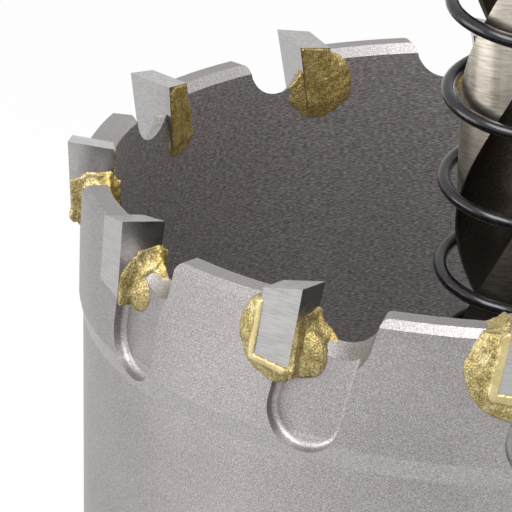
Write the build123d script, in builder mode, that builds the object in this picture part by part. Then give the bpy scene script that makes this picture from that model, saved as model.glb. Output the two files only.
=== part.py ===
from build123d import *
import os
from math import cos, radians, sin, tan

# A carbide-tipped hole saw, teeth up. The origin is at the centre of the shank's lower end
# and +Z runs up the axis through the pilot drill. All sizes are millimetres and degrees.
# A "rise" is measured up from the rim of the cup and a "drop" down from it.

# Shank and hub of the arbor
shank_diameter = 13.0
shank_length = 34.0
shank_end_chamfer = 1.2
shank_flat_count = 3
shank_flat_depth = 0.8
shank_flat_start = 4.0
shank_flat_length = 20.0
shank_groove_width = 2.0
shank_groove_depth = 0.9
hub_diameter = 28.0
hub_height = 12.0
hub_chamfer = 1.0
hub_flat_depth = 2.0
hub_flat_height = 7.0

# Threaded neck of the arbor, its nut and the grub screw
neck_diameter = 16.0
neck_stand_out = 2.0
neck_chamfer = 0.8
nut_corner_inset = 0.14
nut_height = 8.0
nut_chamfer_angle = 30.0
thread_clearance = 0.02
grub_screw_diameter = 6.0
grub_screw_recess = 2.4
grub_screw_height = 5.0
grub_socket_across_flats = 3.0
grub_socket_depth = 3.0

# Cup
cup_depth = 40.0
cup_base_thickness = 7.0
cup_base_chamfer = 2.5
cup_floor_radius = 2.0
neck_clearance = 0.05
cutting_diameter = 68.0
tip_overhang_out = 0.85
crown_wall = 2.25
crown_height = 10.1
crown_step = 0.33
crown_taper_height = 1.6
rim_chamfer_width = 0.43
rim_chamfer_out = 0.60
rim_chamfer_in = 0.84

# Gullet ahead of each tip: a leaning slot whose floor falls outwards
tooth_count = 12
gullet_radius = 2.85
gullet_angle = 3.45
gullet_drop = 1.76
gullet_lean = 16.0
gullet_slope = 34.0
land_corner_radius = 0.7

# Shallow chip pocket milled into the crown below each gullet
pocket_width = 5.7
pocket_depth = 1.05
pocket_lean = 14.0
pocket_drop = 8.3
pocket_top_drop = 2.0
pocket_offset = -0.26
pocket_floor_radius = 0.45

# Carbide tip
tip_length = 3.0
tip_height = 6.5
tip_rise = 1.5
tip_rake = 10.0
tip_back_relief = 9.6
tip_side_slope = 10.3
tip_overhang_in = 0.53
tip_outer_taper = 0.21
tip_inner_taper = 0.11
tip_foot_taper = 0.20

# Braze: a film in the seat, a skin on the tip's inner side, a ramp on the gullet's floor
# and three puddles. A puddle is set back from the cutting corner and dropped from the rim.
braze_gap = 0.10
braze_skin = 0.12
ramp_drop = 1.2
ramp_sag = 0.2
ramp_toe_reach = 1.3
ramp_toe_drop = 4.0
ramp_foot_drop = 5.5
outer_puddle_set_back = 2.1
outer_puddle_drop = 2.75
outer_puddle_radius = 3.5
outer_puddle_swell = 0.7
outer_puddle_sink = 0.2
inner_puddle_set_back = 2.2
inner_puddle_drop = 2.9
inner_puddle_radius = 3.7
inner_puddle_swell = 0.6
inner_puddle_sink = 0.1
pocket_puddle_set_back = 1.2
pocket_puddle_drop = 4.2
pocket_puddle_radius = 1.9
pocket_puddle_swell = 1.15
puddle_top_drop = 0.05

# Pilot drill
drill_diameter = 8.0
drill_clearance = 0.03
drill_socket_floor = 2.0
drill_stand_out = 24.0
drill_shank_length = 29.0
drill_end_chamfer = 0.6
drill_flat_depth = 0.4
drill_point_angle = 135.0
flute_lead = 45.7
flute_phase = 40.4
flute_width_angle = 95.4
web_thickness = 1.6
margin_angle = 16.7
margin_relief = 0.17

# Ejector spring, wound left-handed
spring_wire_diameter = 1.05
spring_outer_diameter = 10.8
spring_pitch = 7.19
spring_stand_out = 18.0
spring_phase = 187.2

# Levels and radii that follow from the sizes above
hub_top = shank_length + hub_height
cup_floor = hub_top + cup_base_thickness
rim = cup_floor + cup_depth
nut_top = cup_floor + nut_height
neck_top = nut_top + neck_stand_out
cutting_radius = cutting_diameter / 2
crown_radius = cutting_radius - tip_overhang_out
inner_radius = crown_radius - crown_wall
body_radius = crown_radius - crown_step
crown_foot = rim - crown_height
tip_inner_radius = inner_radius - tip_overhang_in
cut_margin = 1.0
drill_radius = drill_diameter / 2
drill_foot = shank_length + drill_socket_floor
flute_start = drill_foot + drill_shank_length
drill_top = rim + drill_stand_out
grub_level = shank_length + grub_screw_height
grub_seat_radius = drill_radius - drill_flat_depth
grub_screw_length = hub_diameter / 2 - grub_screw_recess - grub_seat_radius
nut_corner_radius = hub_diameter / 2 - nut_corner_inset
nut_across_flats = 2 * nut_corner_radius * cos(radians(30))
groove_foot = shank_flat_start + shank_flat_length
groove_top = groove_foot + shank_groove_width


def tangent_plane(angle, radius, height):
    """A plane facing outwards at this angle: its x runs round the cup and its y up."""
    outward = Vector(cos(radians(angle)), sin(radians(angle)), 0)
    sideways = Vector(-outward.Y, outward.X, 0)
    return Plane(outward * radius + Vector(0, 0, height), x_dir=sideways, z_dir=outward)


# The tip leans forward by its rake: its frame has x outwards, y the way it cuts, z up its face.
tip_lean = (0, sin(radians(tip_rake)), cos(radians(tip_rake)))
tip_plane = Plane((0, 0, rim + tip_rise), x_dir=(1, 0, 0), z_dir=tip_lean)

# --- Cutters for one tooth, the one whose cutting corner lies on +X ---

gullet_plane = tangent_plane(gullet_angle, crown_radius, rim)
gullet_reach = crown_wall + cut_margin
gullet_top_rise = tip_rise + cut_margin
lean_ratio = tan(radians(gullet_lean))
slope_ratio = tan(radians(gullet_slope))
gullet_root = (0, -gullet_drop)
gullet_mouth = ((gullet_drop + gullet_top_rise) * lean_ratio, gullet_top_rise)
gullet_middle = (gullet_mouth[0] / 2, (gullet_mouth[1] - gullet_drop) / 2)
gullet_direction = gullet_plane.z_dir - Vector(0, 0, slope_ratio)

with BuildPart() as gullet_cutter:
    with BuildSketch(gullet_plane):
        SlotCenterPoint(gullet_middle, gullet_root, 2 * gullet_radius)
    extrude(amount=gullet_reach, dir=gullet_direction, both=True)

# The corner where the gullet's far wall meets the rim is rounded along that wall.
wall_at_rim = gullet_drop * lean_ratio + gullet_radius / cos(radians(gullet_lean))
corner_reach = 2 * land_corner_radius
corner_low = (wall_at_rim - corner_reach * lean_ratio, -corner_reach)
corner_end = (wall_at_rim + corner_reach, 0)
corner_direction = gullet_plane.z_dir + gullet_plane.x_dir * (lean_ratio * slope_ratio)

with BuildPart() as corner_cutter:
    with BuildSketch(gullet_plane):
        with BuildLine():
            FilletPolyline(corner_low, (wall_at_rim, 0), corner_end, radius=land_corner_radius)
            Polyline(
                corner_end,
                (corner_end[0], gullet_top_rise),
                (corner_low[0] - gullet_radius, gullet_top_rise),
                (corner_low[0] - gullet_radius, corner_low[1]),
                corner_low,
            )
        make_face()
    extrude(amount=gullet_reach, dir=corner_direction, both=True)

pocket_end = (pocket_offset, -pocket_drop)
pocket_run = (pocket_drop - pocket_top_drop) / 2
pocket_middle = (pocket_offset + pocket_run * tan(radians(pocket_lean)), pocket_run - pocket_drop)

with BuildPart() as pocket_cutter:
    with BuildSketch(tangent_plane(0, crown_radius - pocket_depth, rim)):
        SlotCenterPoint(pocket_middle, pocket_end, pocket_width)
    extrude(amount=pocket_depth + cut_margin)
    fillet(pocket_cutter.edges().group_by(Axis.X)[0], pocket_floor_radius)

seat_inner = tip_inner_radius - cut_margin
seat_outer = cutting_radius + cut_margin
seat_depth = tip_height + braze_gap
seat_centre = ((seat_inner + seat_outer) / 2, -tip_length / 2)

with BuildPart() as seat_cutter:
    with BuildSketch(tip_plane.offset(-seat_depth)):
        with Locations(seat_centre):
            Rectangle(seat_outer - seat_inner, tip_length + 2 * braze_gap)
    extrude(amount=seat_depth + cut_margin)

with BuildPart() as tooth_cutter:
    add(gullet_cutter.part)
    add(corner_cutter.part)
    add(pocket_cutter.part)
    add(seat_cutter.part)

# --- Cup: base, wall and crown turned in one piece, then milled for the teeth ---

with BuildPart() as cup_body:
    with BuildSketch(Plane.XZ):
        with BuildLine():
            Polyline(
                (neck_diameter / 2 + neck_clearance, hub_top),
                (body_radius - cup_base_chamfer, hub_top),
                (body_radius, hub_top + cup_base_chamfer),
                (body_radius, crown_foot - crown_taper_height),
                (crown_radius, crown_foot),
                (crown_radius, rim - rim_chamfer_out),
                (crown_radius - rim_chamfer_width, rim),
                (inner_radius + rim_chamfer_width, rim),
                (inner_radius, rim - rim_chamfer_in),
            )
            FilletPolyline(
                (inner_radius, rim - rim_chamfer_in),
                (inner_radius, cup_floor),
                (neck_diameter / 2 + neck_clearance, cup_floor),
                radius=cup_floor_radius,
            )
            Line(
                (neck_diameter / 2 + neck_clearance, cup_floor),
                (neck_diameter / 2 + neck_clearance, hub_top),
            )
        make_face()
    revolve(axis=Axis.Z)
    with PolarLocations(0, tooth_count):
        add(tooth_cutter.part, mode=Mode.SUBTRACT)

cup_body.part.label = "cup_body"

# --- Carbide tip: a block that narrows backwards and downwards, ground on top ---

top_fall_back = tan(radians(tip_back_relief))
top_fall_in = tan(radians(tip_side_slope))
tip_top_plane = Plane((cutting_radius, 0, rim + tip_rise), z_dir=(-top_fall_in, -top_fall_back, 1))


def tip_outline(foot_taper):
    """The tip seen from above, narrowed by foot_taper on its outer and inner sides."""
    return Polygon(
        (cutting_radius - foot_taper, 0),
        (tip_inner_radius + foot_taper, 0),
        (tip_inner_radius + tip_inner_taper + foot_taper, -tip_length),
        (cutting_radius - tip_outer_taper - foot_taper, -tip_length),
        align=None,
    )


with BuildPart() as tip_form:
    with BuildSketch(tip_plane):
        tip_outline(0)
    with BuildSketch(tip_plane.offset(-tip_height)):
        tip_outline(tip_foot_taper)
    loft(ruled=True)
    split(bisect_by=tip_top_plane, keep=Keep.BOTTOM)

# --- Braze: film, skin, ramp and puddles joined, less the cup and the tip ---

wall_middle = (crown_radius + inner_radius) / 2
film_foot = -tip_height - braze_gap
film_back_top = -(tip_rise + braze_gap) * cos(radians(tip_rake)) - tip_length * sin(radians(tip_rake))
film_front_top = -(tip_rise + ramp_drop) / cos(radians(tip_rake))


def film(back, front, top):
    """Braze in the gap round the tip, from back to front along the cut and up to top."""
    with BuildSketch(tip_plane.offset(film_foot)) as gap:
        with Locations((wall_middle, (back + front) / 2)):
            Rectangle(crown_wall, front - back)
    extrude(gap.sketch, amount=top - film_foot)


def skin_outline(foot_taper):
    """The inner side of the tip seen from above, wrapped by the skin inside and behind."""
    return Polygon(
        (inner_radius + braze_skin, 0),
        (tip_inner_radius + foot_taper - braze_skin, 0),
        (tip_inner_radius + tip_inner_taper + foot_taper - braze_skin, -tip_length - braze_gap),
        (inner_radius + braze_skin, -tip_length - braze_gap),
        align=None,
    )


def puddle(depth, outward, set_back, drop, radius, swell):
    """A low dome of braze standing on a plane at this depth: outward is 1 or -1 along X."""
    middle = Vector(depth, -set_back, rim - drop)
    with BuildSketch(Plane(middle, x_dir=(0, 0, 1), z_dir=(0, outward, 0))) as dome:
        with BuildLine():
            TangentArc((0, swell), (radius, 0), tangent=(1, 0))
            Polyline((radius, 0), (0, 0), (0, swell))
        make_face()
    revolve(dome.sketch, axis=Axis(middle, (outward, 0, 0)))


with BuildPart() as skin_form:
    with BuildSketch(tip_plane):
        skin_outline(0)
    with BuildSketch(tip_plane.offset(film_foot)):
        skin_outline(tip_foot_taper)
    loft(ruled=True)
    split(bisect_by=tip_top_plane.offset(-braze_skin), keep=Keep.BOTTOM)

# The puddles on the two faces of the wall end at the rim, the gullet and the pocket.
with BuildPart() as wall_puddles:
    puddle(
        crown_radius - outer_puddle_sink, 1, outer_puddle_set_back, outer_puddle_drop,
        outer_puddle_radius, outer_puddle_swell,
    )
    puddle(
        inner_radius + inner_puddle_sink, -1, inner_puddle_set_back, inner_puddle_drop,
        inner_puddle_radius, inner_puddle_swell,
    )
    add(gullet_cutter.part, mode=Mode.SUBTRACT)
    add(pocket_cutter.part, mode=Mode.SUBTRACT)
    split(bisect_by=Plane.XY.offset(rim - puddle_top_drop), keep=Keep.BOTTOM)

rake_ratio = tan(radians(tip_rake))
ramp_top = (-(tip_rise + ramp_drop) * rake_ratio - braze_gap, -ramp_drop)
ramp_toe = (ramp_toe_reach, -ramp_toe_drop)
ramp_foot = (-(tip_rise + ramp_foot_drop) * rake_ratio - braze_gap, -ramp_foot_drop)
ramp_middle = ((ramp_top[0] + ramp_toe[0] - ramp_sag) / 2, (ramp_top[1] + ramp_toe[1] - ramp_sag) / 2)

with BuildPart() as braze_form:
    film(-tip_length - braze_gap, -tip_length / 2, film_back_top)
    film(-tip_length / 2, braze_gap, film_front_top)
    with BuildSketch(tangent_plane(0, inner_radius, rim)):
        with BuildLine():
            ThreePointArc(ramp_top, ramp_middle, ramp_toe)
            Polyline(ramp_toe, ramp_foot, ramp_top)
        make_face()
    extrude(amount=crown_wall - pocket_depth)
    puddle(
        crown_radius - pocket_depth, 1, pocket_puddle_set_back, pocket_puddle_drop,
        pocket_puddle_radius, pocket_puddle_swell,
    )
    add(wall_puddles.part)
    add(skin_form.part)
    add(cup_body.part, mode=Mode.SUBTRACT)
    add(tip_form.part, mode=Mode.SUBTRACT)

# --- Arbor: shank, hub and threaded neck turned in one piece ---

with BuildPart() as arbor:
    with BuildSketch(Plane.XZ):
        with BuildLine():
            Polyline(
                (0, 0),
                (shank_diameter / 2 - shank_end_chamfer, 0),
                (shank_diameter / 2, shank_end_chamfer),
                (shank_diameter / 2, groove_foot),
                (shank_diameter / 2 - shank_groove_depth, groove_foot),
                (shank_diameter / 2 - shank_groove_depth, groove_top),
                (shank_diameter / 2, groove_top),
                (shank_diameter / 2, shank_length),
                (hub_diameter / 2 - hub_chamfer, shank_length),
                (hub_diameter / 2, shank_length + hub_chamfer),
                (hub_diameter / 2, hub_top),
                (neck_diameter / 2, hub_top),
                (neck_diameter / 2, neck_top - neck_chamfer),
                (neck_diameter / 2 - neck_chamfer, neck_top),
                (0, neck_top),
                (0, 0),
            )
        make_face()
    revolve(axis=Axis.Z)
    with BuildSketch(Plane.XY.offset(shank_flat_start)):
        with PolarLocations(shank_diameter - shank_flat_depth, shank_flat_count):
            Rectangle(shank_diameter, shank_diameter)
    extrude(amount=shank_flat_length, mode=Mode.SUBTRACT)
    with BuildSketch(Plane.XY.offset(shank_length)):
        with PolarLocations(hub_diameter - hub_flat_depth, 2):
            Rectangle(hub_diameter, 2 * hub_diameter)
    extrude(amount=hub_flat_height, mode=Mode.SUBTRACT)
    with BuildSketch(Plane.XY.offset(drill_foot)):
        Circle(drill_radius + drill_clearance)
    extrude(amount=neck_top - drill_foot, mode=Mode.SUBTRACT)
    with BuildSketch(tangent_plane(-90, 0, grub_level)):
        Circle(grub_screw_diameter / 2 + thread_clearance)
    extrude(amount=hub_diameter, mode=Mode.SUBTRACT)

arbor.part.label = "arbor"

# --- Nut that clamps the cup's base to the hub ---

nut_chamfer_fall = (nut_corner_radius - nut_across_flats / 2) * tan(radians(nut_chamfer_angle))

with BuildPart() as arbor_nut:
    with BuildSketch(Plane.XY.offset(cup_floor)):
        RegularPolygon(nut_corner_radius, 6)
        Circle(neck_diameter / 2 + thread_clearance, mode=Mode.SUBTRACT)
    extrude(amount=nut_height)
    with BuildSketch(Plane.XZ):
        with BuildLine():
            Polyline(
                (0, cup_floor),
                (nut_corner_radius, cup_floor),
                (nut_corner_radius, nut_top - nut_chamfer_fall),
                (nut_across_flats / 2, nut_top),
                (0, nut_top),
                (0, cup_floor),
            )
        make_face()
    revolve(axis=Axis.Z, mode=Mode.INTERSECT)

arbor_nut.part.label = "arbor_nut"

# --- Grub screw that grips the pilot drill through the side of the hub ---

with BuildPart() as grub_screw:
    with BuildSketch(tangent_plane(-90, grub_seat_radius, grub_level)):
        Circle(grub_screw_diameter / 2)
    extrude(amount=grub_screw_length)
    with BuildSketch(tangent_plane(-90, grub_seat_radius + grub_screw_length, grub_level)):
        RegularPolygon(grub_socket_across_flats / 2, 6, major_radius=False)
    extrude(amount=-grub_socket_depth, mode=Mode.SUBTRACT)

grub_screw.part.label = "grub_screw"

# --- Pilot drill: plain shank, twisted two-flute body and a ground point ---

flute_half_angle = radians(flute_width_angle / 2)
web_half = web_thickness / 2
mouth_x = drill_radius * cos(flute_half_angle)
mouth_y = drill_radius * sin(flute_half_angle)
flute_offset = (mouth_x**2 + mouth_y**2 - web_half**2) / (2 * (mouth_x - web_half))
flute_radius = flute_offset - web_half
flute_turn = 360 * (drill_top - flute_start) / flute_lead
margin_end = 180 - flute_width_angle / 2
margin_start = margin_end - margin_angle
point_height = drill_radius / tan(radians(drill_point_angle / 2))

with BuildSketch(Plane.XY.offset(flute_start)) as drill_section:
    Circle(drill_radius - margin_relief)
    with PolarLocations(0, 2):
        with BuildLine():
            edge = CenterArc((0, 0), drill_radius, margin_start, margin_angle)
            Line(edge @ 1, (0, 0))
            Line((0, 0), edge @ 0)
        make_face()
    with PolarLocations(flute_offset, 2):
        Circle(flute_radius, mode=Mode.SUBTRACT)

fluted_body = Solid.extrude_linear_with_rotation(
    drill_section.sketch.face().rotate(Axis.Z, flute_phase),
    (0, 0, flute_start),
    (0, 0, drill_top - flute_start),
    flute_turn,
)

with BuildPart() as pilot_drill:
    with BuildSketch(Plane.XY.offset(drill_foot)):
        Circle(drill_radius)
    extrude(amount=drill_shank_length)
    chamfer(pilot_drill.edges().group_by(Axis.Z)[0], drill_end_chamfer)
    add(fluted_body)
    with BuildSketch(Plane.XZ):
        with BuildLine():
            Polyline(
                (0, drill_foot),
                (drill_radius, drill_foot),
                (drill_radius, drill_top - point_height),
                (0, drill_top),
                (0, drill_foot),
            )
        make_face()
    revolve(axis=Axis.Z, mode=Mode.INTERSECT)
    with BuildSketch(tangent_plane(-90, grub_seat_radius, grub_level)):
        Rectangle(drill_diameter, grub_screw_diameter + cut_margin)
    extrude(amount=drill_diameter, mode=Mode.SUBTRACT)

pilot_drill.part.label = "pilot_drill"

# --- Ejector spring round the drill, standing on the arbor's neck, ends ground flat ---

spring_radius = (spring_outer_diameter - spring_wire_diameter) / 2
spring_top = rim + spring_stand_out
spring_start = neck_top - spring_pitch / 2
spring_plane = Plane.XY.offset(spring_start).rotated((0, 0, spring_phase + 180))

with BuildPart() as ejector_spring:
    with BuildLine(spring_plane) as coil:
        Helix(spring_pitch, spring_top - neck_top + spring_pitch, spring_radius, lefthand=True)
    with BuildSketch(Plane(coil.line @ 0, z_dir=coil.line % 0)):
        Circle(spring_wire_diameter / 2)
    sweep(path=coil.line, is_frenet=True)
    split(bisect_by=Plane.XY.offset(neck_top), keep=Keep.TOP)
    split(bisect_by=Plane.XY.offset(spring_top), keep=Keep.BOTTOM)

ejector_spring.part.label = "ejector_spring"

# --- Files: one for each piece, with the tips and their braze repeated round the rim ---

os.makedirs("parts", exist_ok=True)
for piece in (cup_body, arbor, arbor_nut, grub_screw, pilot_drill, ejector_spring):
    export_step(piece.part, f"parts/{piece.part.label}.step")

for number in range(tooth_count):
    turn = 360 * number / tooth_count
    with BuildPart() as carbide_tip:
        add(tip_form.part.rotate(Axis.Z, turn))
    carbide_tip.part.label = f"carbide_tip_{number + 1:02d}"
    export_step(carbide_tip.part, f"parts/{carbide_tip.part.label}.step")
    with BuildPart() as braze:
        add(braze_form.part.rotate(Axis.Z, turn))
    braze.part.label = f"braze_{number + 1:02d}"
    export_step(braze.part, f"parts/{braze.part.label}.step")
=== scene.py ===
# %% [markdown]
# # A carbide-tipped hole saw, dressed for its portrait
# The saw is a deep steel cup with twelve carbide teeth brazed round its rim. A pilot drill
# stands in the middle, inside an ejector spring, and a shank below goes into a drill chuck.
# The solids come in as a fixed frame. This lesson gives each of them the finish that the real
# piece has, and remakes what no plain solid can show: the braze that froze round the teeth.

# %% Load the frame
from math import cos, hypot, pi, radians, sin, tan

import bpy
import numpy as np
from mathutils import Matrix, Vector


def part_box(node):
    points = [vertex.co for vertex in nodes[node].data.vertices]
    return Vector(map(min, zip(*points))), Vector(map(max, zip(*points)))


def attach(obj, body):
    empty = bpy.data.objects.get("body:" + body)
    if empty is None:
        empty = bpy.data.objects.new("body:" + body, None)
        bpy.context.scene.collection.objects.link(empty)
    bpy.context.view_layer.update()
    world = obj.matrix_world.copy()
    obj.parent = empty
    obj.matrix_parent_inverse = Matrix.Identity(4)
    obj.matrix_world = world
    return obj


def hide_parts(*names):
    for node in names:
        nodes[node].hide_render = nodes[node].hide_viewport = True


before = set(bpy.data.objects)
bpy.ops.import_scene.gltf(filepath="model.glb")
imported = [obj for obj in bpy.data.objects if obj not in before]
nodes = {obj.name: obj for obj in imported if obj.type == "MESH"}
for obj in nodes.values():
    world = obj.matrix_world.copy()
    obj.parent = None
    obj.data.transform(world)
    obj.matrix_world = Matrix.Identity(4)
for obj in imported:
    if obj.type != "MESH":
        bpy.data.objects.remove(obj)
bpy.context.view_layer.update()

MM = 0.001

# %% [markdown]
# ## Sizes read from the frame
# A scene that measures its neighbours stays right when the model changes. The rim of the cup,
# the crown, the bore and the tips are read from the nodes' own vertices.

# %% Read the sizes that the finishes and the braze need
def points_of(name):
    """The node's points in millimetres, with heights measured from the rim."""
    mesh = nodes[name].data
    points = np.empty(len(mesh.vertices) * 3)
    mesh.vertices.foreach_get("co", points)
    return points.reshape(-1, 3) / MM - (0, 0, rim / MM)


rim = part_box("cup_body")[1][2]
cup_points = points_of("cup_body")
cup_radii = np.hypot(cup_points[:, 0], cup_points[:, 1])
near_rim = cup_points[:, 2] > -5          # above the bore's own step
crown_radius = cup_radii.max()
bore_radius = cup_radii[near_rim].min()
land_points = cup_points[:, 2] > -0.01
chamfer_width = crown_radius - cup_radii[land_points].max()
outer_chamfer_drop = 0.60
inner_chamfer_drop = 0.84
drill_low, drill_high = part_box("pilot_drill")
drill_radius = (drill_high[0] - drill_low[0]) / 2 / MM
tooth_count = sum(name.startswith("carbide_tip") for name in nodes)
print("crown", round(crown_radius, 2), "bore", round(bore_radius, 2), "chamfer", round(chamfer_width, 2))
print("drill radius", round(drill_radius, 2), "teeth", tooth_count)

# %% [markdown]
# ## The camera
# A portrait lens a little way off keeps the circles of the rim nearly parallel. The place is
# given from the centre of the rim, in millimetres, because that is what the eye rests on.

# %% Camera
camera_from_rim = Vector((-25.78, -212.44, 77.12)) * MM
camera_left, camera_down, camera_roll = radians(1.741), radians(21.789), radians(1.1985)
lens_mm = 205.63
sensor_mm = 36

forward = Vector((
    sin(camera_left) * cos(-camera_down),
    cos(camera_left) * cos(-camera_down),
    sin(-camera_down),
))
level_right = Vector((cos(camera_left), -sin(camera_left), 0))
level_up = level_right.cross(forward)
right = cos(camera_roll) * level_right + sin(camera_roll) * level_up
up = cos(camera_roll) * level_up - sin(camera_roll) * level_right

camera_data = bpy.data.cameras.new("portrait_lens")
camera_data.lens = lens_mm
camera_data.sensor_width = sensor_mm
camera_data.clip_start = 10 * MM
camera_data.clip_end = 10
camera = bpy.data.objects.new("portrait_camera", camera_data)
bpy.context.scene.collection.objects.link(camera)
camera.matrix_world = Matrix.Translation(camera_from_rim + Vector((0, 0, rim))) @ Matrix(
    (right, up, -forward)
).transposed().to_4x4()
bpy.context.scene.camera = camera
bpy.context.scene.view_settings.view_transform = "Standard"
print("the camera stands", round(camera_from_rim.length / MM), "mm from the rim's centre")

# %% [markdown]
# ## Helpers for materials
# Every finish below is a small tree of nodes. One function adds a node, sets it and links it,
# and one turns the hex colours of a paint card into the linear numbers that Blender mixes.
# A Mix node keeps its two numbers in sockets 2 and 3, and its two colours in 6 and 7.

# %% Colour, node and finish
def paint(code):
    """Linear colour for an sRGB hex code such as '#A8A6A5'."""
    values = [int(code[i:i + 2], 16) / 255 for i in (1, 3, 5)]
    linear = [v / 12.92 if v <= 0.04045 else ((v + 0.055) / 1.055) ** 2.4 for v in values]
    return (*linear, 1)


def add(tree, kind, inputs=None, stops=(), **settings):
    """Adds one node, sets its properties, and fills or links its inputs.

    An input takes a value, a socket, or a node, whose first live output is then linked.
    The stops of a colour ramp are pairs of a position and a hex code."""
    made = tree.nodes.new(kind)
    for name, value in settings.items():
        setattr(made, name, value)
    for socket, source in (inputs or {}).items():
        if isinstance(source, bpy.types.Node):
            source = next(output for output in source.outputs if output.enabled)
        if isinstance(source, bpy.types.NodeSocket):
            tree.links.new(source, made.inputs[socket])
        else:
            made.inputs[socket].default_value = source
    if stops:
        elements = made.color_ramp.elements
        while len(elements) < len(stops):
            elements.new(0.5)
        for element, (position, code) in zip(elements, stops):
            element.position = position
            element.color = paint(code)
    return made


def new_finish(name):
    """An empty material with its output node and its object coordinates."""
    material = bpy.data.materials.new(name)
    material.use_nodes = True
    tree = material.node_tree
    tree.nodes.clear()
    output = tree.nodes.new("ShaderNodeOutputMaterial")
    place = add(tree, "ShaderNodeTexCoord").outputs["Object"]
    return material, tree, output, place


def per_mm(size_mm):
    """Noise scale whose blobs are about this many millimetres across."""
    return 1 / (size_mm * MM)


def keep(kind, material):
    """Notes the finish for one kind of piece, under the name that its nodes begin with."""
    finishes[kind] = material
    print(kind, "wears", material.name, "made of", len(material.node_tree.nodes), "nodes")


finishes = {}
print("white paint is", paint("#FFFFFF"), "and 0.1 mm grain has scale", round(per_mm(0.1)))

# %% [markdown]
# ## Patterns that run round the axis
# Most of the saw is turned, so its marks run round the axis. If a pattern were drawn straight
# on the object's coordinates, the marks would cut across the wall. Unrolling the cup first,
# like the label of a can, lets one noise follow it. All the metals then end the same way, in
# a metal shader whose bump has a real depth.

# %% Unroll the saw, and finish a metal
def round_the_axis(tree, place, stretch):
    """The point's radius, its height, and its place unrolled round the axis.

    The unrolled place is turns times the stretch in millimetres, height, radius. Its seam
    lies on the -Y side."""
    across, along, height = add(tree, "ShaderNodeSeparateXYZ", {0: place}).outputs
    squares = [
        add(tree, "ShaderNodeMath", {0: side, 1: side}, operation="MULTIPLY")
        for side in (across, along)
    ]
    total = add(tree, "ShaderNodeMath", dict(enumerate(squares)), operation="ADD")
    radius = add(tree, "ShaderNodeMath", {0: total}, operation="SQRT")
    turn = add(tree, "ShaderNodeMath", {0: across, 1: along}, operation="ARCTAN2")
    arc = add(tree, "ShaderNodeMath", {0: turn, 1: stretch * MM}, operation="MULTIPLY")
    unrolled = add(tree, "ShaderNodeCombineXYZ", {"X": arc, "Y": height, "Z": radius})
    return radius, height, unrolled


def metal(tree, output, colour, roughness, relief, depth_mm, metallic=1.0, **extra):
    """Finishes a tree with a metal shader and a bump of this depth."""
    bump = add(tree, "ShaderNodeBump", {"Height": relief, "Distance": depth_mm * MM, "Strength": 1.0})
    inputs = {"Base Color": colour, "Metallic": metallic, "Roughness": roughness, "Normal": bump}
    surface = add(tree, "ShaderNodeBsdfPrincipled", {**inputs, **extra})
    tree.links.new(surface.outputs[0], output.inputs["Surface"])


# %% [markdown]
# ## Bead-blasted steel for the cup
# The outside of the cup was blasted with fine glass beads after it was milled. That leaves a
# satin grey with a sparkle of tiny dents, so the finish is a metal with a mid roughness, a
# fine bump and a grain of light and dark about a tenth of a millimetre across. The bore was
# left as the boring tool cut it: darker and browner, with short marks that run round it. The
# taper at the crown's foot and the chamfer at the bore get lighter colours, as a painted highlight.

# %% Bead-blasted steel
grain_mm = 0.10        # real bead dents are about half this, too fine to show
ring_mm = 0.08         # the feed of the boring tool
ring_stretch = 5.0     # how much longer than high a mark in the bore is
cloud_mm = 9.0         # where the blast nozzle lingered a little
bore_starts = inner_chamfer_drop - 0.02, inner_chamfer_drop + 0.06     # in mm below the rim
taper_foot, taper_top = (11.8, 11.6), (10.05, 10.2)                    # in mm below the rim
bore_skin = 0.10, 0.04                                                 # in mm off the bore


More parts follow.
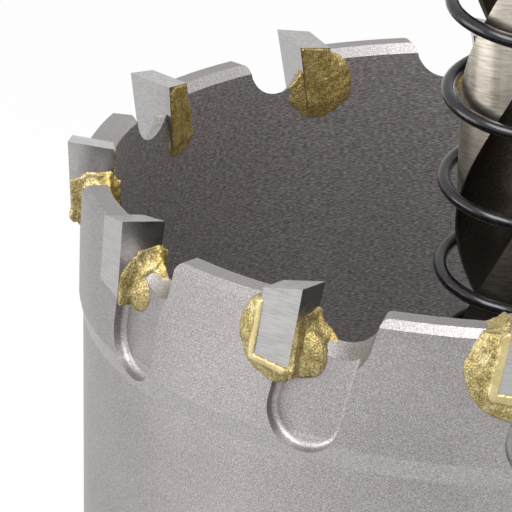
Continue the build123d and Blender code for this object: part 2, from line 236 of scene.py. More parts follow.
def make_blasted_steel():
    """Three patches of the cup differ: its bore, the bore's chamfer and the taper.

    Each patch is the product of two masks, and a mask climbs from 0 to 1 between two places."""
    material, tree, output, place = new_finish("bead_blasted_steel")
    radius, height, unrolled = round_the_axis(tree, place, bore_radius / ring_stretch)
    land_edge = bore_radius + chamfer_width
    masks = [
        add(tree, "ShaderNodeMapRange", {"Value": value, "From Min": start, "From Max": end})
        for value, start, end in (
            (height, rim - bore_starts[0] * MM, rim - bore_starts[1] * MM),
            (radius, (bore_radius + bore_skin[0]) * MM, (bore_radius + bore_skin[1]) * MM),
            (radius, (land_edge + 0.03) * MM, land_edge * MM),
            (height, rim - bore_starts[1] * MM, rim - bore_starts[0] * MM),
            (height, rim - taper_foot[0] * MM, rim - taper_foot[1] * MM),
            (height, rim - taper_top[0] * MM, rim - taper_top[1] * MM),
        )
    ]
    # in_bore is the bore's own finish; the chamfer and taper masks mark where a painted highlight goes
    in_bore, chamfer_painted_highlight, taper_painted_highlight = [
        add(tree, "ShaderNodeMath", {0: first, 1: second}, operation="MULTIPLY")
        for first, second in zip(masks[::2], masks[1::2])
    ]
    grain = add(tree, "ShaderNodeTexNoise", {"Vector": place, "Scale": per_mm(grain_mm)})
    rings = add(tree, "ShaderNodeTexNoise", {"Vector": unrolled, "Scale": per_mm(ring_mm), "Detail": 3.0})
    clouds = add(tree, "ShaderNodeTexNoise", {"Vector": place, "Scale": per_mm(cloud_mm)})
    cloudy = add(tree, "ShaderNodeMapRange", {"Value": clouds, "From Min": 0.35, "From Max": 0.65})
    colour = add(
        tree, "ShaderNodeValToRGB", {"Fac": grain},
        [(0.28, "#7B7777"), (0.5, "#938F8E"), (0.72, "#B0ADAC")],
    )
    # the taper and the bore's chamfer get lighter colours here, a painted highlight for the light they catch
    for share, pattern, stops in (
        (cloudy, grain, [(0.28, "#827E7D"), (0.5, "#999594"), (0.72, "#B6B3B2")]),
        (taper_painted_highlight, grain, [(0.28, "#8D8988"), (0.5, "#A5A1A0"), (0.72, "#C3C0BF")]),
        (chamfer_painted_highlight, grain, [(0.28, "#9B9796"), (0.5, "#B9B5B4"), (0.72, "#DAD7D6")]),
        (in_bore, rings, [(0.30, "#757170"), (0.5, "#9B9796"), (0.70, "#C8C4C2")]),
    ):
        layer = add(tree, "ShaderNodeValToRGB", {"Fac": pattern}, stops)
        colour = add(tree, "ShaderNodeMix", {"Factor": share, 6: colour, 7: layer}, data_type="RGBA")
    relief = add(tree, "ShaderNodeMix", {"Factor": in_bore, 2: grain, 3: rings}, data_type="FLOAT")
    roughness = add(tree, "ShaderNodeMapRange", {"Value": in_bore, "To Min": 0.50, "To Max": 0.56})
    metal(tree, output, colour, roughness, relief, 0.018)
    return material


keep("cup_body", make_blasted_steel())

# %% [markdown]
# ## Ground carbide for the tips
# Sintered tungsten carbide is ground with a diamond wheel. It is a dense grey metal with a
# clean sheen and hairline scratches that run across each face, too shallow to feel.

# %% Ground carbide
scratch_mm = 0.10          # the wheel's grit leaves finer ones, which would not show
scratch_stretch = 14.0
sheen_mm = 1.3             # patches where the wheel cut a little duller


def make_ground_carbide():
    material, tree, output, place = new_finish("ground_carbide")
    radius, height, unrolled = round_the_axis(tree, place, crown_radius)
    across = add(
        tree, "ShaderNodeMapping",
        {"Vector": unrolled, "Scale": (1 / scratch_stretch, 1.0, 0.25)},
    )
    scratches = add(
        tree, "ShaderNodeTexNoise",
        {"Vector": across, "Scale": per_mm(scratch_mm), "Detail": 3.0},
    )
    patches = add(tree, "ShaderNodeTexNoise", {"Vector": place, "Scale": per_mm(sheen_mm)})
    colour = add(
        tree, "ShaderNodeValToRGB", {"Fac": scratches},
        [(0.30, "#A5A3A2"), (0.5, "#AFADAC"), (0.70, "#BAB8B6")],
    )
    gloss = add(
        tree, "ShaderNodeMapRange",
        {"Value": patches, "From Min": 0.3, "From Max": 0.7, "To Min": 0.24, "To Max": 0.34},
    )
    metal(tree, output, colour, gloss, scratches, 0.0012)
    return material


keep("carbide_tip", make_ground_carbide())

# %% [markdown]
# ## Frozen braze
# The joint was filled with a silver-brass alloy. Where it hung in the corner between tip and
# steel it froze smooth and pale. Further out it froze as crystals that glitter, dulled by
# flux to a brown gold. Near the bore its colour is painted brighter, as painted light.
# Where the film ran out thin the steel greys it.
# The mesh carries two of those facts as attributes, "meniscus" and "film".

# %% Frozen braze
crystal_mm = 0.13          # about the real size
flow_mm = 1.1              # the slow streaks that the flux left
# painted light: within this skin the braze by the bore gets a lighter colour
painted_light_skin = 0.3          # in mm from the bore outwards


def make_frozen_braze():
    material, tree, output, place = new_finish("frozen_silver_brass_braze")
    radius, height, unrolled = round_the_axis(tree, place, 1.0)
    meniscus = add(tree, "ShaderNodeAttribute", attribute_name="meniscus").outputs["Fac"]
    film = add(tree, "ShaderNodeAttribute", attribute_name="film").outputs["Fac"]
    crystals = add(
        tree, "ShaderNodeTexNoise",
        {"Vector": place, "Scale": per_mm(crystal_mm), "Detail": 3.0},
    )
    flow = add(tree, "ShaderNodeTexNoise", {"Vector": place, "Scale": per_mm(flow_mm)})
    mixed = add(tree, "ShaderNodeMix", {"Factor": 0.35, 2: crystals, 3: flow}, data_type="FLOAT")
    off_bore = add(
        tree, "ShaderNodeMapRange",
        {"Value": radius, "From Min": bore_radius * MM, "From Max": (bore_radius + painted_light_skin) * MM},
    )
    # painted light: the colours by the bore are lighter, standing for light the braze catches there
    painted_light_in_bore = [
        (0.34, "#7A6638"), (0.44, "#A08B50"), (0.52, "#BFA968"), (0.60, "#D8C688"), (0.68, "#F3E7BE"),
    ]
    outside = [(0.34, "#685A35"), (0.44, "#8E7E50"), (0.52, "#AC9D6E"), (0.60, "#C6B98E"), (0.68, "#E6DCBB")]
    smooth = [(0.35, "#C9B884"), (0.65, "#D8CA99")]
    colour = add(tree, "ShaderNodeValToRGB", {"Fac": mixed}, painted_light_in_bore)
    for share, pattern, stops in ((off_bore, mixed, outside), (meniscus, flow, smooth)):
        layer = add(tree, "ShaderNodeValToRGB", {"Fac": pattern}, stops)
        colour = add(tree, "ShaderNodeMix", {"Factor": share, 6: colour, 7: layer}, data_type="RGBA")
    thinned = add(
        tree, "ShaderNodeMix",
        {"Factor": film, 6: paint("#9C968A"), 7: colour}, data_type="RGBA",
    )
    calm = add(tree, "ShaderNodeMapRange", {"Value": meniscus, "To Min": 1.0, "To Max": 0.12})
    relief = add(tree, "ShaderNodeMath", {0: crystals, 1: calm}, operation="MULTIPLY")
    roughness = add(tree, "ShaderNodeMapRange", {"Value": meniscus, "To Min": 0.52, "To Max": 0.34})
    metal(tree, output, thinned, roughness, relief, 0.045)
    return material


keep("braze", make_frozen_braze())

# %% [markdown]
# ## Ground high-speed steel for the drill
# The lands of the drill are ground bright and warm, with fine marks across them. The flutes
# keep the dark oxide of their heat treatment. Which is which follows from the distance to
# the axis, because a flute lies deeper than the land. Deeper in the cup the lands are painted
# dark as well, which is painted shade.

# %% Ground high-speed steel
mark_mm = 0.13                       # the grinding marks, a little coarser than real
mark_stretch = 10.0
oxide_start, oxide_end = 0.42, 0.30  # in mm below the land
painted_shade_depth = 9.0                 # deeper below the rim the lands are painted dark, as painted shade
bright_share_in_painted_shade = 0.12                   # the share of the bright land colour that is left there


def make_drill_steel():
    material, tree, output, place = new_finish("ground_high_speed_steel")
    radius, height, unrolled = round_the_axis(tree, place, drill_radius / mark_stretch)
    ground = add(tree, "ShaderNodeMapRange", {
        "Value": radius,
        "From Min": (drill_radius - oxide_start) * MM,
        "From Max": (drill_radius - oxide_end) * MM,
    })
    # painted shade: the lands fade towards the dark colour deeper in the cup
    share_left_by_painted_shade = add(tree, "ShaderNodeMapRange", {
        "Value": height, "From Min": rim - painted_shade_depth * MM, "From Max": rim, "To Min": bright_share_in_painted_shade,
    })
    land_and_painted_shade = add(tree, "ShaderNodeMath", {0: ground, 1: share_left_by_painted_shade}, operation="MULTIPLY")
    marks = add(tree, "ShaderNodeTexNoise", {"Vector": unrolled, "Scale": per_mm(mark_mm), "Detail": 3.0})
    bright = add(
        tree, "ShaderNodeValToRGB", {"Fac": marks},
        [(0.30, "#B2A99D"), (0.5, "#C6BEB2"), (0.70, "#D9D2C7")],
    )
    dark = add(tree, "ShaderNodeValToRGB", {"Fac": marks}, [(0.35, "#3E3832"), (0.65, "#5A534B")])
    colour = add(tree, "ShaderNodeMix", {"Factor": land_and_painted_shade, 6: dark, 7: bright}, data_type="RGBA")
    roughness = add(tree, "ShaderNodeMapRange", {"Value": land_and_painted_shade, "To Min": 0.42, "To Max": 0.30})
    metal(tree, output, colour, roughness, marks, 0.004)
    return material


keep("pilot_drill", make_drill_steel())

# %% [markdown]
# ## Black oxide, turned steel and zinc
# The spring wire and the grub screw are blackened and oiled. The arbor is bright from the
# lathe, with rings that run round it, and its nut has a thin zinc coat with a faint bloom.
# Three short trees do for them, since little of them shows.

# %% Small finishes
feed_mm = 0.16         # the lathe's feed per turn
bloom_mm = 1.1         # the zinc's crystals
zinc_grain_mm = 0.3


def make_black_oxide(name, low, high, grain_size, roughness, coat):
    """Blackened steel under a film of oil: dark, with a soft gloss on top."""
    material, tree, output, place = new_finish(name)
    grain = add(tree, "ShaderNodeTexNoise", {"Vector": place, "Scale": per_mm(grain_size), "Detail": 3.0})
    colour = add(tree, "ShaderNodeValToRGB", {"Fac": grain}, [(0.35, low), (0.65, high)])
    gloss = add(tree, "ShaderNodeMapRange", {
        "Value": grain, "From Min": 0.3, "From Max": 0.7,
        "To Min": roughness - 0.04, "To Max": roughness + 0.05,
    })
    oil = {"Coat Weight": coat, "Coat Roughness": 0.2}
    metal(tree, output, colour, gloss, grain, 0.004, 0.6, **oil)
    return material


def make_turned_steel():
    """Bright steel from the lathe, with rings at the feed of the tool."""
    material, tree, output, place = new_finish("turned_steel")
    radius, height, unrolled = round_the_axis(tree, place, 1.0)
    rings = add(tree, "ShaderNodeTexNoise", {"Vector": unrolled, "Scale": per_mm(feed_mm), "Detail": 3.0})
    colour = add(tree, "ShaderNodeValToRGB", {"Fac": rings}, [(0.32, "#9C9A97"), (0.68, "#B9B7B4")])
    gloss = add(
        tree, "ShaderNodeMapRange",
        {"Value": rings, "From Min": 0.3, "From Max": 0.7, "To Min": 0.27, "To Max": 0.37},
    )
    metal(tree, output, colour, gloss, rings, 0.006)
    return material


def make_zinc_plate():
    """A thin zinc coat: pale, a little blue, with a bloom of small crystals."""
    material, tree, output, place = new_finish("zinc_plate")
    bloom = add(tree, "ShaderNodeTexVoronoi", {"Vector": place, "Scale": per_mm(bloom_mm)})
    grain = add(tree, "ShaderNodeTexNoise", {"Vector": place, "Scale": per_mm(zinc_grain_mm)})
    mixed = add(tree, "ShaderNodeMix", {"Factor": 0.5, 2: bloom, 3: grain}, data_type="FLOAT")
    colour = add(tree, "ShaderNodeValToRGB", {"Fac": mixed}, [(0.25, "#A5A8AB"), (0.6, "#C2C5C8")])
    gloss = add(
        tree, "ShaderNodeMapRange",
        {"Value": grain, "From Min": 0.3, "From Max": 0.7, "To Min": 0.32, "To Max": 0.42},
    )
    metal(tree, output, colour, gloss, grain, 0.005)
    return material


keep("ejector_spring", make_black_oxide("black_oxide_wire", "#171618", "#262427", 0.3, 0.25, 0.5))
keep("arbor", make_turned_steel())
keep("arbor_nut", make_zinc_plate())
keep("grub_screw", make_black_oxide("black_oxide_screw", "#1E1D1E", "#2C2B2D", 0.2, 0.35, 0.2))

# %% [markdown]
# ## Dress the solids
# A node's name begins with the kind of piece it is, so one loop hands out the finishes. The
# twelve tips share one, and cost no more than one tip would.

# %% Dress the solids
for name, piece in nodes.items():
    kind = max((key for key in finishes if name.startswith(key)), key=len)
    piece.data.materials.clear()
    piece.data.materials.append(finishes[kind])
print("dressed", len(nodes), "solids")

# %% [markdown]
# ## The braze as a surface
# Molten braze pulls itself into a smooth corner wherever the tip meets the steel, and spreads
# into a low puddle beyond. A distance field makes that easy. Each solid is a function that
# gives the distance to its surface, negative inside. The smaller of two distances joins two
# solids, and a smoothed smaller fills the corner between them, as the liquid did.

# %% Simple shapes as distances
def capsule(across, height, start, end, radius):
    """Distance to a slot that runs between two points of a plane."""
    run = np.subtract(end, start)
    share = ((across - start[0]) * run[0] + (height - start[1]) * run[1]) / (run @ run)
    share = np.clip(share, 0, 1)
    return np.hypot(across - start[0] - share * run[0], height - start[1] - share * run[1]) - radius


def smooth_min(first, second, reach):
    """The smaller of two distances, with the corner filled over this reach."""
    near = np.clip(reach - np.abs(first - second), 0, None)
    return np.minimum(first, second) - near * near / (4 * np.maximum(reach, 1e-6))


def ellipsoid(x, y, z, centre, radii):
    """Roughly the distance to an ellipsoid."""
    scaled = [(p - c) / r for p, c, r in zip((x, y, z), centre, radii)]
    length = np.sqrt(sum(s * s for s in scaled))
    slope = np.sqrt(sum((s / r) ** 2 for s, r in zip(scaled, radii)))
    return length * (length - 1) / np.maximum(slope, 1e-6)


def ripple(x, y, z, size_mm, seed, waves=12):
    """Even noise between about -1 and 1, the same for the same seed."""
    chance = np.random.default_rng(seed)
    total = np.zeros_like(x)
    for wave in range(waves):
        direction = chance.normal(size=3)
        direction *= 2 * pi / (np.linalg.norm(direction) * size_mm * chance.uniform(0.8, 1.6))
        total += np.sin(direction[0] * x + direction[1] * y + direction[2] * z + chance.uniform(0, 2 * pi))
    return total / (waves ** 0.5)


print("a corner is filled by", -smooth_min(0.0, 0.0, 1.0), "mm for each mm of reach")

# %% [markdown]
# ## The tip as a distance
# The tip is a block with flat ground faces, so the distance to it is the largest of its
# distances to those planes. They are read from the tip's own mesh. Every tooth shares one
# frame: x outwards, y the way it cuts, z up from the rim. The grid is a fine net of points
# round one tooth, a tenth of a millimetre apart, because the braze is only that thick where
# it runs out.

# %% The tip, on a grid round the first tooth
sink_mm = 0.12         # tip and cup are in the field this much smaller, so only braze shows
leaf_mm = 0.09         # how deep the braze's hidden side lies in them
skin_mm, skin_sink = 0.20, 0.08     # the skin on the tip's inner side, and how far it is let in
lap_mm = 0.20          # how far the smooth rim laps onto the tip's outer face
step_mm = 0.11
rake = radians(10)


def tip_planes():
    """The tip's flat faces as unit normals and offsets, each once."""
    found = {}
    for face in nodes["carbide_tip_01"].data.polygons:
        centre = Vector(face.center) / MM - Vector((0, 0, rim / MM))
        normal = face.normal.normalized()
        key = tuple(round(v, 2) for v in normal)
        if key not in found or face.area > found[key][0]:
            found[key] = (face.area, np.array(normal), normal.dot(centre))
    return [(normal, offset) for _, normal, offset in found.values()]


field_low, field_high = np.array([29.9, -6.7, -7.6]), np.array([34.7, 2.9, 1.7])
x, y, z = np.meshgrid(*[np.arange(a, b, step_mm) for a, b in zip(field_low, field_high)], indexing="ij")
radius = np.hypot(x, y)
tip_corners = points_of("carbide_tip_01")
tip_rise = tip_corners[:, 2].max()
ahead = y * cos(rake) - (z - tip_rise) * sin(rake)     # the distance in front of the rake face
faces = [
    (normal, normal[0] * x + normal[1] * y + normal[2] * z - offset)
    for normal, offset in tip_planes()
]
tip = np.max([distance for normal, distance in faces], axis=0)
slid = np.max([distance + skin_mm * normal[0] for normal, distance in faces], axis=0) + skin_sink
tip_outside = max(faces, key=lambda face: face[0][0])[1]
tip_prism = np.max([distance for normal, distance in faces if distance is not tip_outside], axis=0)
over_face = np.minimum(-tip_prism - lap_mm, tip_outside + leaf_mm)     # keeps the outer face clean
print("grid", x.shape, "with", x.size, "points; the tip has", len(faces), "faces")

# %% [markdown]
# ## The cup as a distance
# The crown is a ring with a chamfer on each edge of its rim. Two cutters have been through
# it at each tooth: the gullet, a slot that leans forward and falls outwards, and the chip
# pocket below it, a shallow slot in the outside. What a cutter took is subtracted by taking
# the larger of the cup's distance and the cutter's distance turned round.

# %% The crown, the gullet and the pocket
gullet_angle = radians(3.45)
gullet_lean, gullet_slope = tan(radians(16)), tan(radians(34))
gullet_drop, gullet_radius, gullet_mouth = 1.76, 2.85, 4
gullet_tilt = hypot(1, gullet_slope * 0.8)     # a sloping slot's distance reads this much too long
pocket_lean, pocket_offset = tan(radians(14)), -0.26
pocket_depth, pocket_drop, pocket_top = 1.05, 8.3, 2.0
pocket_floor = crown_radius - pocket_depth


def chamfer(past_wall, drop):
    """Distance to the slope between a wall and the rim."""
    return (past_wall * drop + (z + drop) * chamfer_width) / hypot(drop, chamfer_width)


outwards = x * cos(gullet_angle) + y * sin(gullet_angle) - crown_radius
sideways = y * cos(gullet_angle) - x * sin(gullet_angle)
root, mouth = (0, -gullet_drop), ((gullet_drop + gullet_mouth) * gullet_lean, gullet_mouth)
gullet = capsule(sideways, z + gullet_slope * outwards, root, mouth, gullet_radius) / gullet_tilt
pocket_start = (pocket_offset, -pocket_drop)
pocket_end = (pocket_offset + (pocket_drop - pocket_top) * pocket_lean, -pocket_top)
pocket = np.maximum(capsule(y, z, pocket_start, pocket_end, gullet_radius), pocket_floor - x)
outer_slope = chamfer(radius - crown_radius, outer_chamfer_drop)
inner_slope = chamfer(bore_radius - radius, inner_chamfer_drop)
ring = np.max([radius - crown_radius, bore_radius - radius, z, outer_slope, inner_slope], axis=0)
cup = np.max([ring, -gullet, -pocket], axis=0)
print("share of the grid in steel", (cup < 0).mean().round(3), "and in the tip", (tip < 0).mean().round(3))

# %% [markdown]
# ## The edges that the smooth rim follows
# On some teeth a pale, smooth rim of braze runs down the back edge of the tip's outer face
# and along its foot. A rod with round ends from corner to corner is enough for it, because
# the soft corner with the puddle does the rest.

# %% Corners of the tip's outer face
bead_top = -0.35       # the rim of braze ends this far below the rim of the cup
bead_out = 0.03        # and lies this share of the face outside it
outer_corners = tip_corners[tip_corners[:, 0] > crown_radius]
front_low = outer_corners[np.argmin(outer_corners[:, 2])]
back_low = outer_corners[np.argmin(outer_corners[:, 1])]
back_high = outer_corners[np.argmin(outer_corners[:, 1] - 0.5 * outer_corners[:, 2])]
back_top = back_low + (back_high - back_low) * (bead_top - back_low[2]) / (back_high[2] - back_low[2])
face_centre = outer_corners.mean(axis=0)
back_top, back_low, front_low = [
    corner - bead_out * (face_centre - corner) for corner in (back_top, back_low, front_low)
]
widest = tip_corners[:, 0].max() - 0.03        # no braze stands out beyond the cutting corner


def rod(start, end, thick):
    """Distance to a rod with round ends between two points."""
    run = end - start
    share = ((x - start[0]) * run[0] + (y - start[1]) * run[1] + (z - start[2]) * run[2]) / (run @ run)
    share = np.clip(share, 0, 1)
    away = [p - s - share * r for p, s, r in zip((x, y, z), start, run)]
    return np.sqrt(sum(a * a for a in away)) - thick


print("the smooth rim turns at", back_low.round(2), "and ends at", front_low.round(2))

# %% [markdown]
# ## How each braze ran
# No two joints froze alike. Each row says how one tooth's braze ran, in millimetres:
# "side", "back" and "front" are how far it filled the corners there, "bead" is the smooth
# rim's thickness, "outer" and "inner" are the puddles on the cup's two faces, "climb" is the
# film on the tip's cutting face, "pool" the puddle in the pocket, "apron" the film on the
# gullet's wall, and "skin_top" lifts the skin's lower end. A tooth with no row of its own
# takes the plain one, with a little chance added.

# %% One row for each tooth that differs
plain_run = {
    "side": 1.1, "back": 0.6, "front": 0.3, "bead": 0.2,
    "outer": (-2.1, -2.75, 3.35, 0.60), "inner": (-2.2, -2.9, 3.5, 0.45),
    "climb": (31.8, -5.0, 3.8, 3.6, 0.35), "pool": (-0.9, -3.9, 1.9, 0.75),
    "apron": (1.5, 0.20), "skin_top": 0.0,
}
dry_front = {"climb": None, "pool": None, "apron": None}
runs = {
    5: {"back": 0.8, "inner": (-2.4, -2.95, 3.1, 0.27), **dry_front},
    6: {"front": 0.05, "inner": (-2.5, -4.7, 1.5, 0.12), "skin_top": 0.6, **dry_front},
    7: {"climb": (31.5, -5.2, 4.6, 3.7, 0.26), "inner": (-1.6, -2.9, 2.6, 0.35)},
    8: {
        "outer": None, "bead": None, "climb": (31.3, -5.0, 2.85, 3.7, 0.36),
        "pool": (-1.1, -4.4, 1.7, 0.65), "apron": (0.8, 0.2),
    },
    9: {
        "back": 1.1, "outer": (-2.15, -2.95, 3.35, 0.68), "climb": (32.3, -5.0, 6.0, 3.8, 0.36),
        "pool": (-0.8, -4.0, 1.85, 0.75), "apron": (1.4, 0.22),
    },
    10: {"back": 2.2, "bead": 0.3, "outer": (-2.3, -2.9, 3.8, 0.78)},
}


def run_of(tooth):
    """This tooth's row, or the plain one with a little chance added."""
    if tooth in runs:
        return {**plain_run, **runs[tooth]}
    chance = np.random.default_rng(700 + tooth)
    spread = chance.uniform(0.9, 1.08)
    run = dict(plain_run)
    for key in ("outer", "inner"):
        back, drop, width, swell = plain_run[key]
        run[key] = (back + chance.uniform(-0.2, 0.2), drop + chance.uniform(-0.2, 0.2), width * spread, swell)
    run["bead"] = plain_run["bead"] * chance.uniform(0.7, 1.4)
    return run


print("rows for teeth", sorted(runs), "and a plain one for the rest")

# %% [markdown]
# ## Pour one braze
# The order is the order in which the metal ran. It fills the corners first, coats the tip's
# inner side, then spreads into puddles. Each shape is cut by its limits, such as a face that
# it may not cross, and joins what is there with a soft corner. At the end small lumps
# roughen what lies clear of the steel, and everything deeper than a leaf inside it goes.

# %% The field of one tooth's braze
wander_mm, wander_share, wander_seed = 1.7, 0.16, 40      # the slow unevenness of everything poured
lump_kinds = ((0.6, 0.022, 80), (0.28, 0.014, 120))       # size and height in mm, and seed
soft_corner = {"outer": 0.35, "inner": 0.3, "climb": 0.3, "pool": 0.4, "apron": 0.4, "bead": 0.5}    # in mm
unevenness = {"outer": 0.35, "inner": 0.35, "climb": 0.3, "pool": 0.2, "apron": 0.3, "bead": 0.1}
apron_x, apron_z, apron_wide, apron_high = 31.9, -3.3, 2.6, 2.7
skin_foot = 0.85             # in mm above the rim
rake_overlap = 0.3           # what coats the cutting face starts this far behind it
climb_reach = 0.6            # and stays this close to the tip
front_fade, back_fade = 0.4, 0.5     # over these lengths one corner's reach turns into the next
tip_length = 3.0             # along the cut
seam_tip, seam_cup = 0.13, 0.03      # the seam's gap to the tip, and how far it enters the seat


def puddle(across, wall, sunk, size):
    """A low dome on a wall, whose centre is sunk into the steel."""
    back, drop, width, swell = size
    return ellipsoid(across, y, z, (wall - sunk, back, drop), (swell + abs(sunk), width, width))


def film_on_rake(centre_x, centre_z, wide, thick, high):
    """A flat blob that leans with the tip's cutting face."""
    return ellipsoid(x, ahead, z, (centre_x, 0, centre_z), (wide, thick, high))


def pour(gold, name, shape, wander, *limits):
    """Adds a shape with an uneven edge, cut by its limits, with a soft corner to the rest."""
    cut = np.max([shape + wander * unevenness[name], *limits], axis=0)
    return smooth_min(gold, cut, soft_corner[name])


def corner_reach(run, wander):
    """How far the corner between tip and cup is filled at each place."""
    in_front = np.clip(ahead / front_fade + 0.5, 0, 1)
    behind = np.clip((-tip_length - ahead) / back_fade + 0.6, 0, 1) * np.clip((z + 1.2) / 0.6, 0, 1)
    reach = run["side"] + (run["front"] - run["side"]) * in_front + (run["back"] - run["side"]) * behind
    return reach * (1 + wander)


def braze_field(tooth):
    """Distances for one tooth's braze, from the corners that it fills to its puddles."""
    run = run_of(tooth)
    wander = ripple(x, y, z, wander_mm, wander_seed + tooth) * wander_share
    lumps = sum(ripple(x, y, z, size, seed + tooth) * high for size, high, seed in lump_kinds)
    gold = smooth_min(tip + sink_mm, cup + sink_mm, corner_reach(run, wander))
    skin_end = z - (skin_foot - run["skin_top"]) + wander * 1.5
    gold = np.minimum(gold, np.maximum(slid, skin_end) if run["skin_top"] else slid)
    past_rake = -ahead - rake_overlap
    if run["outer"]:
        dome = puddle(radius, crown_radius, 0.15, run["outer"])
        gold = pour(gold, "outer", dome, wander, ahead + 0.2, z + 0.1, tip_outside + 0.16)
    if run["inner"]:
        dome = puddle(radius, bore_radius, -0.1, run["inner"])
        gold = pour(gold, "inner", dome, wander, -gullet - 0.05, z + 0.3)
    if run["climb"]:
        centre_x, centre_z, wide, high, thick = run["climb"]
        film = film_on_rake(centre_x, centre_z, wide, thick, high)
        gold = pour(gold, "climb", film, wander, past_rake, tip - climb_reach, tip_outside + 0.10)
    if run["pool"]:
        dome = puddle(x, pocket_floor, 0.1, run["pool"])
        gold = pour(gold, "pool", dome, wander, past_rake, tip_outside + 0.25)
    if run["apron"]:
        long, thick = run["apron"]
        film = film_on_rake(apron_x, apron_z, apron_wide, long, apron_high)
        gold = pour(gold, "apron", film, wander, cup - thick, past_rake, bore_radius - 0.1 - radius)
    if run["bead"]:
        edge = np.minimum(rod(back_low, front_low, run["bead"]), rod(back_top, back_low, run["bead"]))
        gold = pour(gold, "bead", edge, wander, tip_outside - 0.03)
    solid = np.minimum(tip, cup)
    calm = np.where(radius > crown_radius, np.clip(tip / 0.6, 0.1, 1), 1)     # smoother by the tip
    rough = gold - lumps * np.clip(solid / 0.2, 0, 1) * calm
    shown = np.max([rough, -solid - leaf_mm, radius - widest, over_face], axis=0)
    seam = np.max([tip - seam_tip, cup + seam_cup, -tip - 0.1, ahead - 0.05], axis=0)
    return np.minimum(shown, seam)


print("pours, in order:", ", ".join(soft_corner))

# %% [markdown]
# ## From field to mesh
# The surface is where the field is zero. Each small cell that the surface crosses gets one
# vertex, at the middle of its crossings, and each crossed edge gets one face between the four
# cells that share it. The pieces stay closed, because the field closes inside the steel.

# %% Mesh the field
cube_corners = [(i, j, k) for i in (0, 1) for j in (0, 1) for k in (0, 1)]


def surface_of(field):
    """Points and quads where the field crosses zero."""
    size = np.array(field.shape) - 1
    total, count = np.zeros((*size, 3)), np.zeros(size)
    for start in cube_corners:
        for axis in [a for a in range(3) if start[a] == 0]:
            end = [s + (a == axis) for a, s in enumerate(start)]
            first = field[tuple(slice(s, s + n) for s, n in zip(start, size))]
            last = field[tuple(slice(s, s + n) for s, n in zip(end, size))]
            crossed = (first < 0) != (last < 0)
            share = np.where(crossed, first / np.where(crossed, first - last, 1), 0)
            for a in range(3):
                total[..., a] += crossed * (start[a] + (share if a == axis else 0))
            count += crossed
    cells = np.argwhere(count > 0)
    number = np.full(count.shape, -1)
    number[tuple(cells.T)] = np.arange(len(cells))
    points = field_low + step_mm * (cells + total[count > 0] / count[count > 0][:, None])
    quads = []
    for axis in range(3):
        second, third = (axis + 1) % 3, (axis + 2) % 3
        inside = field < 0
        low = inside.take(range(size[axis]), axis)
        high = inside.take(range(1, size[axis] + 1), axis)
        for flip in (False, True):
            crossed = ~low & high if flip else low & ~high
            edges = np.argwhere(crossed)
            edges = edges[(edges[:, second] > 0) & (edges[:, third] > 0)]
            edges = edges[(edges[:, second] < size[second]) & (edges[:, third] < size[third])]
            corners = [edges.copy() for turn in range(4)]
            corners[1][:, second] -= 1
            corners[2][:, [second, third]] -= 1
            corners[3][:, third] -= 1
            turned = corners[::-1] if flip else corners
            quads.append(np.stack([number[tuple(corner.T)] for corner in turned], axis=1))
    return points, np.concatenate(quads)


def sample(field, points):
    """The field's value at each point, between its grid points."""
    place = (points - field_low) / step_mm
    base = np.clip(place.astype(int), 0, np.array(field.shape) - 2)
    share = place - base
    value = 0
    for corner in cube_corners:
        weight = np.prod([share[:, a] if corner[a] else 1 - share[:, a] for a in range(3)], axis=0)
        value = value + weight * field[tuple((base + corner).T)]
    return value


print("a cell has", len(cube_corners), "corners and is", step_mm, "mm wide")

# %% [markdown]
# ## Build the twelve brazes
# Each mesh is made at the first tooth and turned to its own. Two attributes go with it for
# the finish: "meniscus" is 1 where the metal froze smooth against the tip's outer face, and
# "film" falls to 0 where it runs out on the steel.

# %% Build the twelve brazes
meniscus_mm, meniscus_fade = 0.55, 0.25      # the smooth rim's width, and how it fades
meniscus_most = 0.75                         # some crystals show even there
film_mm = 0.09                               # thinner braze than this is greyed by the steel
braze_tris = 0
for tooth in range(1, tooth_count + 1):
    points, quads = surface_of(braze_field(tooth))
    to_tip, to_cup = sample(tip, points), sample(cup, points)
    meniscus = np.clip((meniscus_mm - to_tip) / meniscus_fade, 0, 1)
    meniscus *= np.clip((points[:, 0] - crown_radius) / 0.1, 0, 1)     # only on the outer face
    meniscus *= meniscus_most * np.clip((-0.1 - sample(ahead, points)) / 0.3, 0, 1)     # and behind the rake
    film = np.clip((np.minimum(to_cup, to_tip + 0.05) + 0.02) / film_mm, 0, 1)
    turn = 2 * pi * (tooth - 1) / tooth_count
    spin = np.array([[cos(turn), -sin(turn), 0], [sin(turn), cos(turn), 0], [0, 0, 1]])
    mesh = bpy.data.meshes.new(f"frozen_braze_{tooth:02d}")
    mesh.from_pydata((points @ spin.T + (0, 0, rim / MM)) * MM, [], quads.tolist())
    for name, values in (("meniscus", meniscus), ("film", film)):
        mesh.attributes.new(name, "FLOAT", "POINT").data.foreach_set("value", values.astype(np.float32))
    mesh.materials.append(finishes["braze"])
    mesh.shade_smooth()
    piece = bpy.data.objects.new(f"frozen_braze_{tooth:02d}", mesh)
    bpy.context.scene.collection.objects.link(piece)
    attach(piece, "root")
    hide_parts(f"braze_{tooth:02d}")
    braze_tris += 2 * len(quads)
print("braze triangles", braze_tris)

# %% [markdown]
# ## Studio
# The saw stands in a white studio. Eye, mirror and glass rays see a plain white room, and a
# broad lamp overhead in front gives the chamfers their bright line. A second, larger one on
# the left rolls the light round the cup. The floor is pale and keeps a soft shadow.

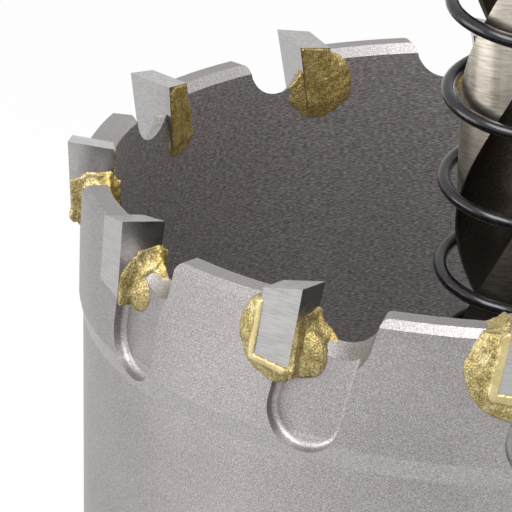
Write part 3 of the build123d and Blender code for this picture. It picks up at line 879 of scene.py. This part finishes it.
# %% World
world = bpy.data.worlds.new("white_studio")
bpy.context.scene.world = world
world.use_nodes = True
world_tree = world.node_tree
world_tree.nodes.clear()
ray = add(world_tree, "ShaderNodeLightPath")
eye, mirror, glass = [ray.outputs[f"Is {name} Ray"] for name in ("Camera", "Glossy", "Transmission")]
eye_or_mirror = add(world_tree, "ShaderNodeMath", {0: eye, 1: mirror}, operation="MAXIMUM")
seen = add(world_tree, "ShaderNodeMath", {0: eye_or_mirror, 1: glass}, operation="MAXIMUM")
fill = add(world_tree, "ShaderNodeBackground", {"Color": paint("#FFFFFF"), "Strength": 0.7})
white_room = add(world_tree, "ShaderNodeBackground", {"Color": paint("#FFFFFF"), "Strength": 1.0})
either = add(world_tree, "ShaderNodeMixShader", {0: seen, 1: fill, 2: white_room})
add(world_tree, "ShaderNodeOutputWorld", {"Surface": either})
print("world", world.name, "with", len(world_tree.nodes), "nodes")

# %% Floor
floor_half = 0.6
floor_mesh = bpy.data.meshes.new("floor")
floor_corners = [(a * floor_half, b * floor_half, 0) for a, b in ((-1, -1), (1, -1), (1, 1), (-1, 1))]
floor_mesh.from_pydata(floor_corners, [], [(0, 1, 2, 3)])
floor = bpy.data.objects.new("floor", floor_mesh)
bpy.context.scene.collection.objects.link(floor)

floor_finish, floor_tree, floor_output, _ = new_finish("pale_floor")
floor_ray = add(floor_tree, "ShaderNodeLightPath")
eye, mirror = floor_ray.outputs["Is Camera Ray"], floor_ray.outputs["Is Glossy Ray"]
floor_seen = add(floor_tree, "ShaderNodeMath", {0: eye, 1: mirror}, operation="MAXIMUM")
glow_share = add(floor_tree, "ShaderNodeMath", {0: floor_seen, 1: 0.9}, operation="MULTIPLY")
matt = add(floor_tree, "ShaderNodeBsdfDiffuse", {"Color": paint("#F4F4F4")})
glow = add(floor_tree, "ShaderNodeEmission", {"Color": paint("#FFFFFF"), "Strength": 1.0})
floor_mix = add(floor_tree, "ShaderNodeMixShader", {0: glow_share, 1: matt, 2: glow})
floor_tree.links.new(floor_mix.outputs[0], floor_output.inputs["Surface"])
floor_mesh.materials.append(floor_finish)
print("floor", round(2 * floor_half / MM), "mm wide")


# %% Lamps
def soft_lamp(name, place_mm, size_mm, watts):
    """A square area lamp that looks at the rim's centre, placed from there."""
    data = bpy.data.lights.new(name, "AREA")
    data.shape = "SQUARE"
    data.size = size_mm * MM
    data.energy = watts
    lamp = bpy.data.objects.new(name, data)
    bpy.context.scene.collection.objects.link(lamp)
    start = Vector(place_mm) * MM
    lamp.location = start + Vector((0, 0, rim))
    lamp.rotation_euler = (-start).to_track_quat("-Z", "Y").to_euler()


soft_lamp("overhead_softbox", (-20, -330, 330), 300, 2.3)
soft_lamp("left_softbox", (-420, -120, 40), 300, 1.05)
print("lamps:", ", ".join(lamp.name for lamp in bpy.data.lights))
